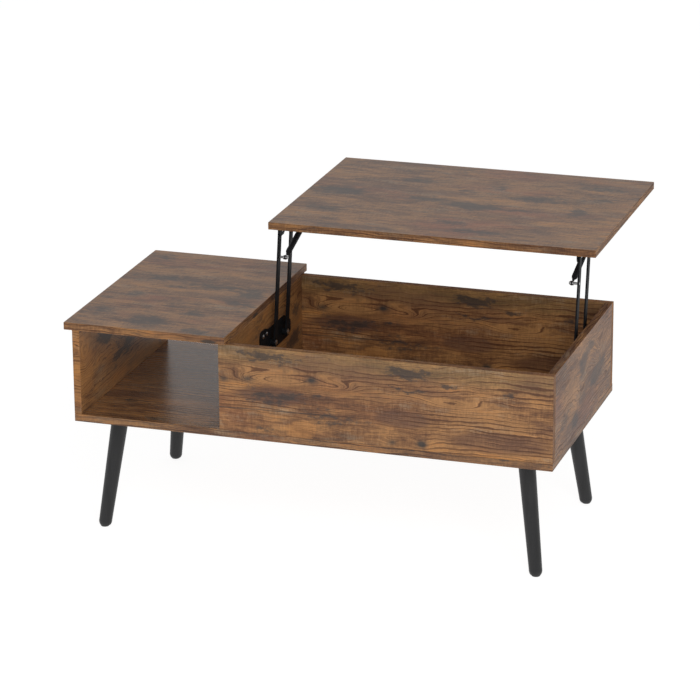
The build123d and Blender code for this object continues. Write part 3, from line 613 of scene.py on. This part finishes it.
def coated(name, colour, accent, scales, spread, roughness, relief, metallic=0.0, specular=0.5):
    """Coat with noise at a coarse and a fine scale in its colour, gloss and relief."""
    net = Net(name)
    place = net.axes("Object")
    coarse_cells, fine_cells = scales
    coarse = net.noise(net.vector(*[at * cells for at, cells in zip(place, coarse_cells)]), 3.0)
    fine = net.noise(net.vector(*[at * cells for at, cells in zip(place, fine_cells)]), 2.0, 0.6)
    share = net.step(coarse + (fine - 0.5) * COAT_GRIT, *COAT_RANGE)
    mixed = net.mix(share * spread, colour, accent)
    rough = roughness + (coarse - 0.5) * COAT_GLOSS[0] + (fine - 0.5) * COAT_GLOSS[1]
    return net.surface(mixed, rough, fine, relief, metallic, specular)


# cells in a metre along x, y and z, coarse and fine; then spread of the accent, roughness, relief
paint = coated("black_paint", linear(24, 24, 25), linear(38, 38, 39),
               ((60, 60, 9), (700, 700, 60)), 0.6, 0.45, 0.00006, specular=0.35)
black = coated("black_coated_steel", linear(15, 16, 18), linear(27, 28, 31),
               ((60, 60, 60), (1500, 1500, 1500)), 0.6, 0.58, 0.00004, specular=0.10)
zinc = coated("zinc_plate", linear(190, 190, 192), linear(150, 150, 150),
              ((150, 150, 150), (1800, 1800, 1800)), 0.6, 0.30, 0.00002, metallic=1.0)
coil_steel = coated("spring_wire", linear(17, 17, 19), linear(34, 34, 37),
                    ((200, 200, 200), (1600, 1600, 1600)), 0.6, 0.40, 0.00002, specular=0.25)
plastic = coated("glide_plastic", linear(40, 40, 40), linear(58, 58, 57),
                 ((120, 120, 120), (1600, 1600, 1600)), 0.7, 0.55, 0.00004)
beech = coated("beech", linear(205, 172, 128), linear(176, 138, 96),
               ((400, 400, 40), (1800, 1800, 200)), 0.8, 0.6, 0.00005)

BY_SLOT = {"black_painted_wood": paint, "black_steel": black, "zinc_steel": zinc,
           "spring_steel": coil_steel, "glide_plastic": plastic, "dowel_wood": beech}
BY_BOARD = {"front_panel": printed, "back_panel": printed, "bottom_board": bottom,
            "fixed_top": top_left, "lift_top": top_right, "left_side_panel": left_wall,
            "divider_panel": divider_wall, "right_side_panel": right_end}
for part in frame["record"]["subparts"]:
    node = nodes[part["node"]]
    node.data.materials.clear()
    node.data.materials.append(BY_BOARD.get(part["node"]) or BY_SLOT[part["material_slot"]])


# ---- coiled lift springs ----
WIRE_SIDES = 10
WIRE_RADIUS = 0.00115
COIL_RADIUS = 0.0048
COIL_TURNS = 34
COIL_STEPS = 20            # points in a turn
COIL_NARROW = 0.3          # radius at the coil's ends, over the full one
COIL_TAPER = 8             # each end narrows over one part in so many of the coil
EYE_RADIUS = 0.0038
EYE_STEPS = 28
EYE_REACH = 0.0090         # from an eye's centre to the coil


def tube(path, radius, sides):
    """Round tube along a path of points."""
    vertices = []
    faces = []
    tangent = (path[1] - path[0]).normalized()
    side = tangent.orthogonal().normalized()
    for index, point in enumerate(path):
        ahead = path[min(index + 1, len(path) - 1)]
        behind = path[max(index - 1, 0)]
        tangent = (ahead - behind).normalized()
        side = (side - tangent * side.dot(tangent)).normalized()
        other = tangent.cross(side)
        for k in range(sides):
            angle = 2 * math.pi * k / sides
            vertices.append(point + (side * math.cos(angle) + other * math.sin(angle)) * radius)
    for ring in range(len(path) - 1):
        for k in range(sides):
            a = ring * sides + k
            b = ring * sides + (k + 1) % sides
            faces.append((a, b, b + sides, a + sides))
    faces.append(tuple(range(sides - 1, -1, -1)))
    faces.append(tuple((len(path) - 1) * sides + k for k in range(sides)))
    return vertices, faces


def centre_of(node):
    low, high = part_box(node)
    return (low + high) / 2


def wire(name, path, body):
    """Spring wire along a path, riding on a body."""
    vertices, faces = tube(path, WIRE_RADIUS, WIRE_SIDES)
    mesh = bpy.data.meshes.new(name)
    mesh.from_pydata(vertices, [], faces)
    for polygon in mesh.polygons:
        polygon.use_smooth = True
    mesh.materials.append(coil_steel)
    made = bpy.data.objects.new(name, mesh)
    bpy.context.scene.collection.objects.link(made)
    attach(made, body)
    return made


def eye_path(centre, towards, across):
    """Full loop around a pin, from its coil side back to it."""
    return [centre + (towards * math.cos(angle) + across * math.sin(angle)) * EYE_RADIUS
            for angle in (2 * math.pi * k / EYE_STEPS for k in range(EYE_STEPS + 1))]


def coil_path(start, finish, across, sideways):
    """Helix that narrows at both ends."""
    steps = COIL_TURNS * COIL_STEPS
    path = []
    for k in range(steps + 1):
        share = k / steps
        angle = 2 * math.pi * COIL_TURNS * share
        ease = min(1.0, COIL_TAPER * share, COIL_TAPER * (1 - share))
        radius = COIL_RADIUS * max(COIL_NARROW, ease)
        path.append(start + (finish - start) * share
                    + (across * math.cos(angle) + sideways * math.sin(angle)) * radius)
    return path


for side in ("left", "right"):
    tube_low, tube_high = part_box(f"{side}_lift_spring")
    pin = centre_of(f"{side}_arm_spring_pin")
    anchor = centre_of(f"{side}_anchor_pin")
    pin.x = (tube_low.x + tube_high.x) / 2
    anchor.x = pin.x
    axis = (anchor - pin).normalized()
    sideways = Vector((1, 0, 0))
    across = axis.cross(sideways)
    foot = pin + axis * EYE_RADIUS         # where the coil's wire meets the lower eye
    coil_start = pin + axis * EYE_REACH
    coil_end = anchor - axis * EYE_REACH
    # the lower eye stays on the arm's pin, the upper one keeps its shape, the coil between shortens
    wire(f"{side}_spring_lower_eye", eye_path(pin, axis, across), f"{side}_front_arm")
    wire(f"{side}_spring_upper_eye", eye_path(anchor, -axis, across) + [coil_end], f"{side}_spring")
    coil = wire(f"{side}_coil_spring", [foot] + coil_path(coil_start, coil_end, across, sideways),
                f"{side}_spring")
    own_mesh(coil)
    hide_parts(f"{side}_lift_spring")


# ---- floor, light and camera ----
WHITE = (1.0, 1.0, 1.0, 1.0)
FLOOR_REACH = 40.0         # half the floor's side
FLOOR_DARK = (0.18, 0.18, 0.18, 1.0)
FLOOR_PALE = (0.20, 0.20, 0.20, 1.0)
FLOOR_CELLS = 3            # noise cells in a metre
FLOOR_ROUGH = 0.8
FLOOR_ROUGH_SPREAD = 0.1
FLOOR_RELIEF = 0.0001
FLOOR_SPECULAR = 0.1
FLOOR_GLOW = 0.90          # the floor's own light keeps the backdrop white
SKY_LOW = 0.95             # strength at the horizon
SKY_HIGH = 0.38            # strength overhead
SKY_TURN = 0.7             # height of the direction from which it is overhead
KEY_PLACE = (1.75, -3.65, 2.46)
KEY_TARGET = (0, 0, 0.3)
KEY_SIZE = 2.6
KEY_ENERGY = 115

floor_mesh = bpy.data.meshes.new("floor")
floor_corners = [(-1, -1), (1, -1), (1, 1), (-1, 1)]
floor_mesh.from_pydata([(x * FLOOR_REACH, y * FLOOR_REACH, 0) for x, y in floor_corners],
                       [], [(0, 1, 2, 3)])
floor = bpy.data.objects.new("floor", floor_mesh)
bpy.context.scene.collection.objects.link(floor)
floor_net = Net("floor_paint")
floor_x, floor_y, _ = floor_net.axes("Object")
mottle = floor_net.noise(floor_net.vector(floor_x * FLOOR_CELLS, floor_y * FLOOR_CELLS, 0.0), 3.0)
floor_colour = floor_net.mix(mottle, FLOOR_DARK, FLOOR_PALE)
floor_paint = floor_net.surface(floor_colour, FLOOR_ROUGH + mottle * FLOOR_ROUGH_SPREAD, mottle,
                                FLOOR_RELIEF, specular=FLOOR_SPECULAR)
floor_shader = floor_net.tree.nodes["Principled BSDF"]
floor_shader.inputs["Emission Color"].default_value = WHITE
floor_shader.inputs["Emission Strength"].default_value = FLOOR_GLOW
floor_mesh.materials.append(floor_paint)

# sky: bright at the horizon, darker overhead
world = bpy.data.worlds.new("studio")
world.use_nodes = True
sky = world.node_tree
direction = sky.nodes.new("ShaderNodeTexCoord")
parts = sky.nodes.new("ShaderNodeSeparateXYZ")
sky.links.new(direction.outputs["Generated"], parts.inputs[0])
gradient = sky.nodes.new("ShaderNodeMapRange")
gradient.inputs["From Min"].default_value = 0.0
gradient.inputs["From Max"].default_value = SKY_TURN
gradient.inputs["To Min"].default_value = SKY_LOW
gradient.inputs["To Max"].default_value = SKY_HIGH
sky.links.new(parts.outputs[2], gradient.inputs["Value"])
sky.links.new(gradient.outputs[0], sky.nodes["Background"].inputs["Strength"])
sky.nodes["Background"].inputs["Color"].default_value = WHITE
bpy.context.scene.world = world


def area_light(name, place, target, size, energy):
    """Soft lamp, left out of reflections so that the tops don't mirror it."""
    data = bpy.data.lights.new(name, "AREA")
    data.size = size
    data.energy = energy
    made = bpy.data.objects.new(name, data)
    made.location = place
    made.visible_glossy = False
    made.rotation_euler = (Vector(target) - Vector(place)).to_track_quat("-Z", "Y").to_euler()
    bpy.context.scene.collection.objects.link(made)


area_light("key", KEY_PLACE, KEY_TARGET, KEY_SIZE, KEY_ENERGY)

# the camera stands AZIMUTH to the right of the front, ELEVATION above TARGET
AZIMUTH = math.radians(17.962)
ELEVATION = math.radians(18.845)
ROLL = math.radians(-0.393)
DISTANCE = 6.563
TARGET = Vector((0.00604, -0.129, 0.3478))
LENS = 170.32
SENSOR = 36.0
CLIP_END = 200

back = Vector((math.sin(AZIMUTH) * math.cos(ELEVATION), -math.cos(AZIMUTH) * math.cos(ELEVATION),
               math.sin(ELEVATION)))
level = Vector((0, 0, 1)).cross(back).normalized()
upward = back.cross(level)
right = level * math.cos(ROLL) + upward * math.sin(ROLL)
upward = upward * math.cos(ROLL) - level * math.sin(ROLL)
camera_data = bpy.data.cameras.new("camera")
camera_data.lens = LENS
camera_data.sensor_width = SENSOR
camera_data.clip_end = CLIP_END
camera = bpy.data.objects.new("camera", camera_data)
place = TARGET + back * DISTANCE
camera.matrix_world = Matrix(((right.x, upward.x, back.x, place.x),
                              (right.y, upward.y, back.y, place.y),
                              (right.z, upward.z, back.z, place.z),
                              (0, 0, 0, 1)))
bpy.context.scene.collection.objects.link(camera)
bpy.context.scene.camera = camera
bpy.context.scene.view_settings.view_transform = "Standard"
